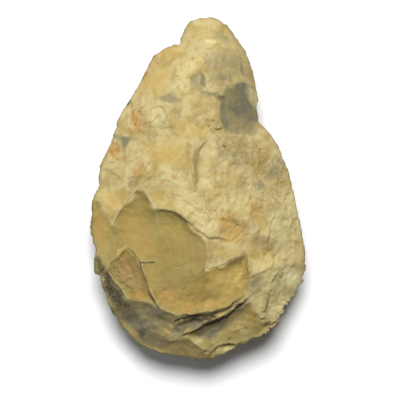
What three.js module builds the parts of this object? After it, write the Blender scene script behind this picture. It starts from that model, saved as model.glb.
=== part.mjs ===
// Stone hand axe: one pear-shaped piece of flint, flaked over both faces, lying on its flatter face.
// Millimetres. The tip points along +Y, the butt is at -Y, and the flat patch it rests on is at z = 0.
import * as THREE from 'three';

const length = 150; // tip to butt
const width = 94.5; // across the widest part, near the butt
const crownRise = 24; // from the edge up to the crown of the upper face
const bellyDrop = 19; // from the resting patch up to the edge
const seatCut = 1.3; // how much of the belly the flat resting patch takes away
const edgeWave = 1.6; // how far the edge swings up and down along the sides

// The outline and the ridges are drawn on one plan, counted in steps of 1/343 of the length:
// the first number is across, from the middle line, and the second is along, from the butt.
const outline = [
  [8, 343], [25, 338], [40, 321], [52, 298], [59.5, 267], [60.5, 241], [70, 229], [77, 219],
  [86, 202], [94, 177], [99, 154], [105, 125], [108.5, 94], [101, 69], [88, 51], [83, 43],
  [75, 31], [64, 24], [48, 17], [30, 7.5], [12, 0], [-2, 0.5], [-18, 3], [-38, 6],
  [-53, 12], [-67, 22], [-77, 35], [-87, 51], [-97, 76], [-98, 83], [-103.5, 89], [-103.5, 110],
  [-108, 129], [-106, 160], [-100, 171], [-99.5, 184], [-95, 201], [-86, 221], [-79, 244], [-68, 262],
  [-53, 287], [-44, 304], [-26, 315.5], [-19, 316.5], [-16, 327], [-8, 338.5],
];
const spine = [[-1, 96], [12, 262]]; // where the stone is thickest

// Corners of the flake scars on the upper face. The first rows lie outside the edge.
const corners = {
  tipLeft: [-38, 338], tipTop: [7, 366], tipRight: [77, 320], neckRight: [92, 270], shoulder: [90, 244],
  right1: [107, 230], right2: [127, 178], right3: [137, 118], right4: [137, 92], right5: [120, 35], right6: [94, 0],
  butt1: [42, -28], butt2: [7, -32], butt3: [-70, -16],
  left1: [-100, 15], left2: [-130, 80], left3: [-132, 164], left4: [-122, 194], left5: [-110, 220], left6: [-98, 272],
  a1: [-15, 310], a2: [14, 308], a3: [-12, 296], b1: [16, 274], b2: [13, 248], b3: [24, 228], b4: [58, 238],
  c1: [-24, 268], c2: [-20, 248], c3: [-48, 262], c4: [-46, 230], c5: [-71, 221], c6: [-58, 208], c7: [-60, 190],
  d1: [-86, 190], d2: [-72, 176], d3: [-68, 161], d4: [-69, 182], d5: [-61, 183], d6: [-58, 173],
  e1: [-99, 157], e2: [-86, 135], e3: [-78, 108], f1: [-71, 113], f2: [-56, 97], f3: [-47, 70], f4: [-38, 54],
  f5: [-71, 63], f6: [-92, 92], g1: [-38, 182], g2: [-18, 174], g3: [-20, 149], g4: [-44, 152], g5: [-40, 124],
  h1: [0, 171], h2: [-3, 132], h3: [10, 121], h4: [28, 175], h5: [45, 179], h6: [46, 154], h7: [52, 128],
  h8: [32, 146], i1: [48, 109], i2: [24, 96], i3: [9, 92], j1: [7, 217], j2: [-4, 192], j3: [15, 210],
  j4: [13, 172], j5: [42, 213], k1: [64, 210], k2: [70, 170], k3: [90, 117], k4: [83, 98], m1: [70, 60],
  m2: [66, 40], n1: [49, 64], n2: [52, 84], o1: [10, 50], o2: [33, 57], o3: [-17, 46], p1: [3, 37],
  p2: [24, 45], p3: [43, 56], p4: [-14, 26], q1: [-28, 24], q2: [-50, 27], r1: [10, 9], r2: [42, 18],
};

// Each flake scar: its corners, the share of the local height it takes away, and how gently it falls off
// its border, in plan steps. A small last number makes a steep step.
const scars = [
  ['tipLeft tipTop a2 a3 a1', 0.20, 24],
  ['tipTop tipRight a2', 0.24, 22],
  ['a2 tipRight neckRight b1', 0.20, 22],
  ['b1 neckRight shoulder b4 b3 b2', 0.14, 18],
  ['a3 a2 b1 b2 c2 c1', 0.06, 16],
  ['left6 tipLeft a1 a3 c1 c3', 0.24, 32],
  ['left6 c3 c4 c5 left5', 0.26, 24],
  ['c3 c1 c2 c4', 0.05, 10],
  ['left5 c5 c6 c7 d5 d4 d2 d1 left4', 0.26, 18],
  ['left4 d1 d2 d3 e2 e1 left3', 0.28, 20],
  ['d2 d4 d5 d6 d3', 0.12, 6],
  ['left3 e1 e2 e3 f6 left2', 0.38, 16],
  ['d6 g4 g5 f2 f1 e3 e2 d3', 0.23, 12],
  ['d6 g1 g2 g3 g4', 0.09, 10],
  ['c4 c2 b2 b3 j1 j2 h1 g2 g1 d6 d5 c7 c6 c5', 0.06, 24],
  ['g2 h1 j4 h4 h8 h3 h2 g3', 0.06, 14],
  ['h4 h5 h6 h7 i1 h3 h8', 0.08, 14],
  ['j1 j3 j4 h1 j2', 0.05, 5],
  ['j1 b3 j5 h5 h4 j4 j3', 0.06, 16],
  ['b3 b4 shoulder right1 k1 j5', 0.20, 16],
  ['j5 k1 right1 right2 k2 h5', 0.20, 20],
  ['h6 h5 k2 right2 right3 k3 h7', 0.21, 20],
  ['h7 k3 right3 right4 k4 n2 i1', 0.24, 16],
  ['k4 right4 right5 m2 m1', 0.30, 13],
  ['n2 k4 m1 m2 n1', 0.14, 13],
  ['h3 i1 i2 i3', 0.07, 8],
  ['i3 i2 i1 n2 n1 o2 o1', 0.14, 9],
  ['g4 g3 h2 h3 i3 o1 o3 f4 f3 f2 g5', 0.18, 7],
  ['f1 f2 f3 f4 f5 f6 e3', 0.28, 9],
  ['left2 f6 f5 q2 left1', 0.46, 13],
  ['f5 f4 o3 p4 q1 q2', 0.32, 11],
  ['q2 q1 p4 r1 butt2 butt3 left1', 0.42, 16],
  ['o3 o1 o2 n1 p3 p2 p1 p4', 0.28, 6],
  ['p4 p1 p2 p3 n1 m2 right6 butt1 butt2 r1', 0.48, 7],
  ['r1 r2 m2 right5 right6 butt1 butt2', 0.68, 10],
];

const undersideScars = 11; // big flakes struck round the edge of the lower face
const undersideBite = 0.34; // share of the local height each of them takes away
const bellyCentre = 150; // plan step of the lowest part of the belly
const bellyFall = 0.5; // share of its depth the belly has lost at the two ends
const crownPower = 1.9; // higher is a fuller upper face
const bellyPower = 2.2;
const tipThinning = 0.3; // share of the height that the upper face loses at the tip

const meshCellAcross = 2.15;
const meshCellAlong = 2.78;
const cellsAcross = 2 * Math.round(width / meshCellAcross / 2);
const cellsAlong = 2 * Math.round(length / meshCellAlong / 2);
// Where the corners of the mesh grid meet the outline, as points of the list above.
const gridCorners = { tipLeft: 41, tipRight: 3, buttRight: 16, buttLeft: 26 };
const snapReach = 0.5; // share of a cell that a mesh point may move to lie on a ridge

const clamp = THREE.MathUtils.clamp;
const smoothstep = THREE.MathUtils.smoothstep;

function outlineAt(place) {
  const count = outline.length;
  const index = Math.floor(place);
  const t = place - index;
  const [p0, p1, p2, p3] = [-1, 0, 1, 2].map((step) => outline[(index + step + count * 2) % count]);
  return [0, 1].map((axis) => {
    const [a, b, c, d] = [p0[axis], p1[axis], p2[axis], p3[axis]];
    return b + 0.5 * t * (c - a + t * (2 * a - 5 * b + 4 * c - d + t * (3 * (b - c) + d - a)));
  });
}

const fineOutline = [];
for (let place = 0; place < outline.length; place += 0.25) {
  fineOutline.push(outlineAt(place));
}

function segmentGap(point, from, to) {
  const [dx, dy] = [to[0] - from[0], to[1] - from[1]];
  const along = ((point[0] - from[0]) * dx + (point[1] - from[1]) * dy) / (dx * dx + dy * dy);
  const share = clamp(along, 0, 1);
  const nearest = [from[0] + share * dx, from[1] + share * dy];
  return { gap: Math.hypot(point[0] - nearest[0], point[1] - nearest[1]), nearest, share };
}

// 0 on the spine and 1 on the edge.
function reachFromSpine(point) {
  const inner = segmentGap(point, spine[0], spine[1]).gap;
  let outer = Infinity;
  fineOutline.forEach((from, index) => {
    outer = Math.min(outer, segmentGap(point, from, fineOutline[(index + 1) % fineOutline.length]).gap);
  });
  return inner / (inner + outer);
}

const scarShapes = scars.map(([names, bite, ease]) => ({
  ring: names.split(' ').map((name) => corners[name]),
  bite,
  ease,
}));

function heightLeftAbove(point) {
  let left = 1;
  for (const { ring, bite, ease } of scarShapes) {
    let isInside = false;
    let border = 0;
    ring.forEach((from, index) => {
      const to = ring[(index + 1) % ring.length];
      border += Math.exp((-3 * segmentGap(point, from, to).gap) / ease);
      const isCrossed = from[1] > point[1] !== to[1] > point[1];
      if (isCrossed && point[0] < from[0] + ((point[1] - from[1]) * (to[0] - from[0])) / (to[1] - from[1])) {
        isInside = !isInside;
      }
    });
    if (isInside) {
      left = Math.min(left, 1 - bite * (1 - Math.cbrt(Math.min(border, 1))));
    }
  }
  return left;
}

// Flakes struck inward from points spaced round the edge.
const lowerScars = [];
for (let number = 0; number < undersideScars; number += 1) {
  const centre = outlineAt((number * outline.length) / undersideScars);
  const { gap, nearest } = segmentGap(centre, spine[0], spine[1]);
  lowerScars.push({
    centre,
    inward: [(nearest[0] - centre[0]) / gap, (nearest[1] - centre[1]) / gap],
    reach: gap * (0.66 + 0.12 * Math.sin(number * 2.4)),
    spread: 38 + 7 * Math.cos(number * 1.7),
  });
}

function heightLeftBelow(point) {
  let left = 1;
  for (const { centre, inward, reach, spread } of lowerScars) {
    const [dx, dy] = [point[0] - centre[0], point[1] - centre[1]];
    const along = (dx * inward[0] + dy * inward[1]) / reach;
    const across = (dx * inward[1] - dy * inward[0]) / spread;
    left = Math.min(left, 1 - undersideBite * Math.max(0, 1 - along * along - across * across));
  }
  return left;
}

function edgeHeight(point, reach) {
  const swing = Math.sin(point[1] * 0.052 + 0.6) * (point[0] / 100) + 0.35 * Math.sin(point[1] * 0.11 - point[0] * 0.03);
  return bellyDrop + edgeWave * reach * reach * swing;
}

function upperHeight(point) {
  const reach = reachFromSpine(point);
  const rise = crownRise * (1 - tipThinning * smoothstep(point[1], 170, 343));
  return edgeHeight(point, reach) + rise * (1 - reach ** crownPower) * heightLeftAbove(point);
}

function lowerHeight(point) {
  const reach = reachFromSpine(point);
  const fall = 1 - bellyFall * ((point[1] - bellyCentre) / bellyCentre) ** 2 * 0.75;
  const drop = (bellyDrop + seatCut) * fall * (1 - reach ** bellyPower) * heightLeftBelow(point);
  return Math.max(0, edgeHeight(point, reach) - drop);
}

// Grid points: rings of the grid run from the outline in to the spine.
const ringCount = cellsAcross / 2;
const { tipLeft, tipRight, buttRight, buttLeft } = gridCorners;

function along(from, to, share) {
  const span = (to - from + outline.length) % outline.length;
  return (from + span * share) % outline.length;
}

function gridPoint(column, row) {
  const rowOnSpine = clamp(row, ringCount, cellsAlong - ringCount);
  const side = column - ringCount;
  const end = row - rowOnSpine;
  const reach = Math.max(Math.abs(side), Math.abs(end)) / ringCount;
  const spineShare = (rowOnSpine - ringCount) / (cellsAlong - cellsAcross);
  const middle = [0, 1].map((axis) => spine[0][axis] + spineShare * (spine[1][axis] - spine[0][axis]));
  if (reach === 0) {
    return { plan: middle, isEdge: false };
  }
  const outerColumn = ringCount + side / reach;
  const outerRow = rowOnSpine + end / reach;
  let place;
  if (Math.abs(end) >= Math.abs(side) && end > 0) {
    place = along(tipLeft, tipRight, outerColumn / cellsAcross);
  } else if (Math.abs(end) >= Math.abs(side)) {
    place = along(buttRight, buttLeft, 1 - outerColumn / cellsAcross);
  } else if (side > 0) {
    place = along(tipRight, buttRight, 1 - outerRow / cellsAlong);
  } else {
    place = along(buttLeft, tipLeft, outerRow / cellsAlong);
  }
  const rim = outlineAt(place);
  return {
    plan: [0, 1].map((axis) => middle[axis] + (rim[axis] - middle[axis]) * reach),
    isEdge: reach === 1,
  };
}

const columns = cellsAcross + 1;
const rows = cellsAlong + 1;
const grid = [];
for (let row = 0; row < rows; row += 1) {
  for (let column = 0; column < columns; column += 1) {
    grid.push(gridPoint(column, row));
  }
}

function cellSize(index) {
  const column = index % columns;
  const near = [];
  if (column > 0) near.push(index - 1);
  if (column < cellsAcross) near.push(index + 1);
  if (index >= columns) near.push(index - columns);
  if (index < columns * cellsAlong) near.push(index + columns);
  const here = grid[index].plan;
  return Math.min(...near.map((other) => Math.hypot(grid[other].plan[0] - here[0], grid[other].plan[1] - here[1])));
}

// Moves the mesh points of the upper face that are close to a ridge onto it.
function snapped(index) {
  const { plan, isEdge } = grid[index];
  if (isEdge) {
    return plan;
  }
  let best = { gap: snapReach * cellSize(index), nearest: plan };
  for (const { ring } of scarShapes) {
    ring.forEach((from, step) => {
      const found = segmentGap(plan, from, ring[(step + 1) % ring.length]);
      if (found.gap < best.gap) {
        best = found;
      }
    });
  }
  return best.nearest;
}

const xs = fineOutline.map((point) => point[0]);
const ys = fineOutline.map((point) => point[1]);
const [left, right] = [Math.min(...xs), Math.max(...xs)];
const [bottom, top] = [Math.min(...ys), Math.max(...ys)];

function solidPoint(plan, height) {
  const across = ((plan[0] - left) / (right - left) - 0.5) * width;
  const lengthwise = ((plan[1] - bottom) / (top - bottom) - 0.5) * length;
  return new THREE.Vector3(across, lengthwise, height);
}

// One face of the stone, as triangles wound for a view from above.
function sheet(plans, heightAt) {
  const heights = plans.map((plan, index) => (grid[index].isEdge ? edgeHeight(plan, 1) : heightAt(plan)));
  const points = plans.map((plan, index) => solidPoint(plan, heights[index]));
  const triangles = [];
  for (let row = 0; row < cellsAlong; row += 1) {
    for (let column = 0; column < cellsAcross; column += 1) {
      const a = row * columns + column;
      const b = a + 1;
      const c = b + columns;
      const d = a + columns;
      const middle = [0, 1].map((axis) => (plans[a][axis] + plans[b][axis] + plans[c][axis] + plans[d][axis]) / 4);
      const centre = heightAt(middle);
      const misfitRising = Math.abs((heights[a] + heights[c]) / 2 - centre);
      const misfitFalling = Math.abs((heights[b] + heights[d]) / 2 - centre);
      // A corner cell is cut from its corner, so that the two faces share no triangle there.
      const isEnd = row === 0 || row === cellsAlong - 1;
      const isSide = column === 0 || column === cellsAcross - 1;
      const isRisingCorner = (row === 0) === (column === 0);
      const isRising = isEnd && isSide ? isRisingCorner : misfitRising <= misfitFalling;
      const cut = isRising ? [[a, b, c], [a, c, d]] : [[a, b, d], [b, c, d]];
      cut.forEach((corner) => triangles.push(corner.map((index) => points[index])));
    }
  }
  return triangles;
}

const upperPlans = grid.map((item, index) => snapped(index));
const lowerPlans = grid.map((item) => item.plan);
const upper = sheet(upperPlans, upperHeight);
const lower = sheet(lowerPlans, lowerHeight).map(([a, b, c]) => [a, c, b]);

const positions = [];
for (const triangle of [...upper, ...lower]) {
  triangle.forEach((point) => positions.push(point.x, point.y, point.z));
}
const geometry = new THREE.BufferGeometry();
geometry.setAttribute('position', new THREE.Float32BufferAttribute(positions, 3));
geometry.computeVertexNormals();

const flint = new THREE.MeshStandardMaterial({ color: 0xb9a468, roughness: 0.78, metalness: 0 });
const stone = new THREE.Mesh(geometry, flint);
stone.name = 'hand_axe';

const group = new THREE.Group();
group.name = 'stone_hand_axe';
group.add(stone);

export default group;
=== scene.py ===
# A flaked flint hand axe, lying on its flatter face and seen from straight above.
# The stone is one closed mesh that keeps the solid's outline, crown and belly, with finer flake scars.
import math

import bpy
import numpy as np
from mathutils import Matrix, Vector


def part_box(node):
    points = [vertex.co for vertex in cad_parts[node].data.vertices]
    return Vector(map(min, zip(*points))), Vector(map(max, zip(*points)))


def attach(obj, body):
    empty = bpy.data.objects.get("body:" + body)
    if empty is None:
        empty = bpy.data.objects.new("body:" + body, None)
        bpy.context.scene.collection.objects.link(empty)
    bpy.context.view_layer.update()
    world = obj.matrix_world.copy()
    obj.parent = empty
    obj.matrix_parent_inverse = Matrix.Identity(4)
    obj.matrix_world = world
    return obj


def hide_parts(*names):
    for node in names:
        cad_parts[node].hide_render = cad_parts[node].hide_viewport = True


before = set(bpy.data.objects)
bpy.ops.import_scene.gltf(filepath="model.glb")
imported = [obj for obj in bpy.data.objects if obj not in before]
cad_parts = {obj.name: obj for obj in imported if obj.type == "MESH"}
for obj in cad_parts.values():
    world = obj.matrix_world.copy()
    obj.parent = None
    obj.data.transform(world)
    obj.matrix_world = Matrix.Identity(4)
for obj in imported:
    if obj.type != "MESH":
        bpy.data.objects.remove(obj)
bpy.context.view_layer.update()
low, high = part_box("hand_axe")
size = high - low  # metres
print("frame loaded")

# The plan is counted in steps of 1/343 of the length, across from the middle line and along from the butt.
planSteps = 343
mm = 0.001
axeLength = 150  # mm
stepSize = axeLength / planSteps  # mm
farAway = 1e9  # further than anything on the plan

# The outline, from the tip down the right side and up the left.
outline = [
    (8, 343), (25, 338), (40, 321), (52, 298), (59.5, 267), (60.5, 241), (70, 229), (77, 219),
    (86, 202), (94, 177), (99, 154), (105, 125), (108.5, 94), (101, 69), (88, 51), (83, 43),
    (75, 31), (64, 24), (48, 17), (30, 7.5), (12, 0), (-2, 0.5), (-18, 3), (-38, 6),
    (-53, 12), (-67, 22), (-77, 35), (-87, 51), (-97, 76), (-98, 83), (-103.5, 89), (-103.5, 110),
    (-108, 129), (-106, 160), (-100, 171), (-99.5, 184), (-95, 201), (-86, 221), (-79, 244), (-68, 262),
    (-53, 287), (-44, 304), (-26, 315.5), (-19, 316.5), (-16, 327), (-8, 338.5),
]
gridCorners = {"tipLeft": 41, "tipRight": 3, "buttRight": 16, "buttLeft": 26}  # counted in outline points
spine = ((-1, 96), (12, 262))  # where the stone is thickest
core = ((-12, 96), (12, 262))  # lowest and highest corner of the strip that the flakes were struck towards

# Corners of the flake scars on the upper face. Those with whole words for names lie outside the edge.
corners = {
    "tipLeft": (-38, 338), "tipTop": (7, 366), "tipRight": (77, 320), "neckRight": (92, 270),
    "shoulder": (90, 244), "right1": (107, 230), "right2": (127, 178), "right3": (137, 118),
    "right4": (137, 92), "right5": (120, 35), "right6": (94, 0), "butt1": (42, -28), "butt2": (7, -32),
    "butt3": (-70, -16), "left1": (-100, 15), "left2": (-130, 80), "left3": (-132, 164),
    "left4": (-122, 194), "left5": (-110, 220), "left6": (-98, 272), "a1": (-15, 310), "a2": (14, 308),
    "a3": (-12, 296), "b1": (16, 274), "b2": (13, 248), "b3": (24, 228), "b4": (58, 238), "c1": (-24, 268),
    "c2": (-20, 248), "c3": (-48, 262), "c4": (-46, 230), "c5": (-71, 221), "c6": (-58, 208),
    "c7": (-60, 190), "d1": (-86, 190), "d2": (-72, 176), "d3": (-68, 161), "d4": (-69, 182),
    "d5": (-61, 183), "d6": (-58, 173), "e1": (-99, 157), "e2": (-86, 135), "e3": (-78, 108),
    "f1": (-71, 113), "f2": (-56, 97), "f3": (-47, 70), "f4": (-38, 54), "f5": (-71, 63), "f6": (-92, 92),
    "g1": (-38, 182), "g2": (-18, 174), "g3": (-20, 149), "g4": (-44, 152),
    "h1": (0, 171), "h2": (-3, 132), "h3": (10, 121), "h4": (28, 175), "h5": (45, 179), "h6": (46, 154),
    "h7": (52, 128), "h8": (32, 146), "i1": (48, 109), "i2": (24, 96), "i3": (9, 92), "j1": (7, 217),
    "j2": (-4, 192), "j3": (15, 210), "j4": (13, 172), "j5": (42, 213), "k1": (64, 210), "k2": (70, 170),
    "k3": (90, 117), "k4": (83, 98), "m1": (70, 60), "m2": (66, 40), "n1": (49, 64), "n2": (52, 84),
    "o1": (10, 50), "o2": (33, 57), "o3": (-17, 46), "p1": (3, 37), "p2": (24, 45), "p3": (43, 56),
    "p4": (-14, 26), "q1": (-28, 24), "q2": (-50, 27), "r1": (10, 9), "r2": (42, 18),
}

# Each flake scar: its corners, the share of the height it takes away, how gently it falls off its border,
# its tone from -1, pale cream, to 1, olive, and the height of its ripples in mm. The side that starts at a
# corner with ~ falls off three times as gently. A scar that takes nothing only gives its tone.
scars = [
    ("tipLeft tipTop a2 a3 a1", 0.20, 24, 0.25, 0.03),
    ("tipTop tipRight a2", 0.24, 22, 0.30, 0.03),
    ("a2 tipRight neckRight b1", 0.20, 22, 0.40, 0.03),
    ("b1 neckRight shoulder b4 b3 b2", 0.14, 18, 0.45, 0.03),
    ("a3 a2 b1 b2 c2 c1", 0.06, 16, 0.12, 0.0),
    ("left6 tipLeft a1 a3 c1 c3", 0.24, 32, -0.05, 0.03),
    ("left6 c3 c4 c5 left5", 0.26, 24, 0.0, 0.05),
    ("c3 c1 c2 c4", 0.05, 10, -0.15, 0.0),
    ("left5 c5 c6 c7 d5 d4 d2 d1 left4", 0.26, 18, 0.0, 0.06),
    ("left4 d1 d2 d3 e2 e1 left3", 0.28, 20, -0.35, 0.05),
    ("d2 d4 d5 d6 d3", 0.12, 6, 0.35, 0.0),
    ("d6 g1 g2 g3 g4", 0.09, 10, 0.0, 0.04),
    ("c4 c2 b2 b3 j1 j2 h1 g2 g1 d6 d5 c7 c6 c5", 0.06, 24, 0.05, 0.03),
    ("g2 h1 j4 h4 h8 h3 h2 g3", 0.06, 14, -0.45, 0.03),
    ("h4 h5 h6 h7 i1 h3 h8", 0.08, 14, -0.05, 0.05),
    ("j1 j3 j4 h1 j2", 0.05, 5, 0.0, 0.0),
    ("j1 b3 j5 h5 h4 j4 j3", 0.06, 16, 0.0, 0.03),
    ("b3 b4 shoulder right1 k1 j5", 0.20, 16, -0.10, 0.04),
    ("j5 k1 right1 right2 k2 h5", 0.20, 20, 0.10, 0.05),
    ("h6 h5 k2 right2 right3 k3 h7", 0.21, 20, 0.05, 0.05),
    ("h7 k3 right3 right4 k4 n2 i1", 0.24, 16, 0.0, 0.05),
    ("k4 right4 right5 m2 m1", 0.30, 13, -0.15, 0.06),
    ("n2 k4 m1 m2 n1", 0.14, 13, 0.10, 0.05),
    ("left3 e1 e2 d3 d6 g4 g3 h2 h3~ i3 i2 i1 n2 n1 o2 o1 o3 f4 f3 f2 f1 e3 f6 left2", 0.23, 8, 1.0, 0.05),
    ("left3 e1 e2 e3 f6 left2", 0, 1, 0.85, 0),
    ("h3 i1 i2 i3", 0, 1, 0.1, 0),
    ("f1 f2 f3 f4 f5 f6 e3", 0.28, 9, 1.0, 0.12),
    ("left2 f6 f5 q2 left1", 0.46, 13, 0.55, 0.05),
    ("f5 f4 o3 p4 q1 q2", 0.32, 11, 0.65, 0.08),
    ("q2 q1 p4 r1 butt2 butt3 left1", 0.42, 16, 0.60, 0.06),
    ("o3 o1 o2 n1 p3 p2 p1 p4", 0.28, 6, 0.30, 0.04),
    ("p4 p1 p2 p3 n1~ m2 right6 butt1 butt2 r1", 0.48, 7, 0.60, 0.06),
    ("r1 r2 m2 right5 right6 butt1 butt2", 0.68, 10, -0.05, 0.08),
]

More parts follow.
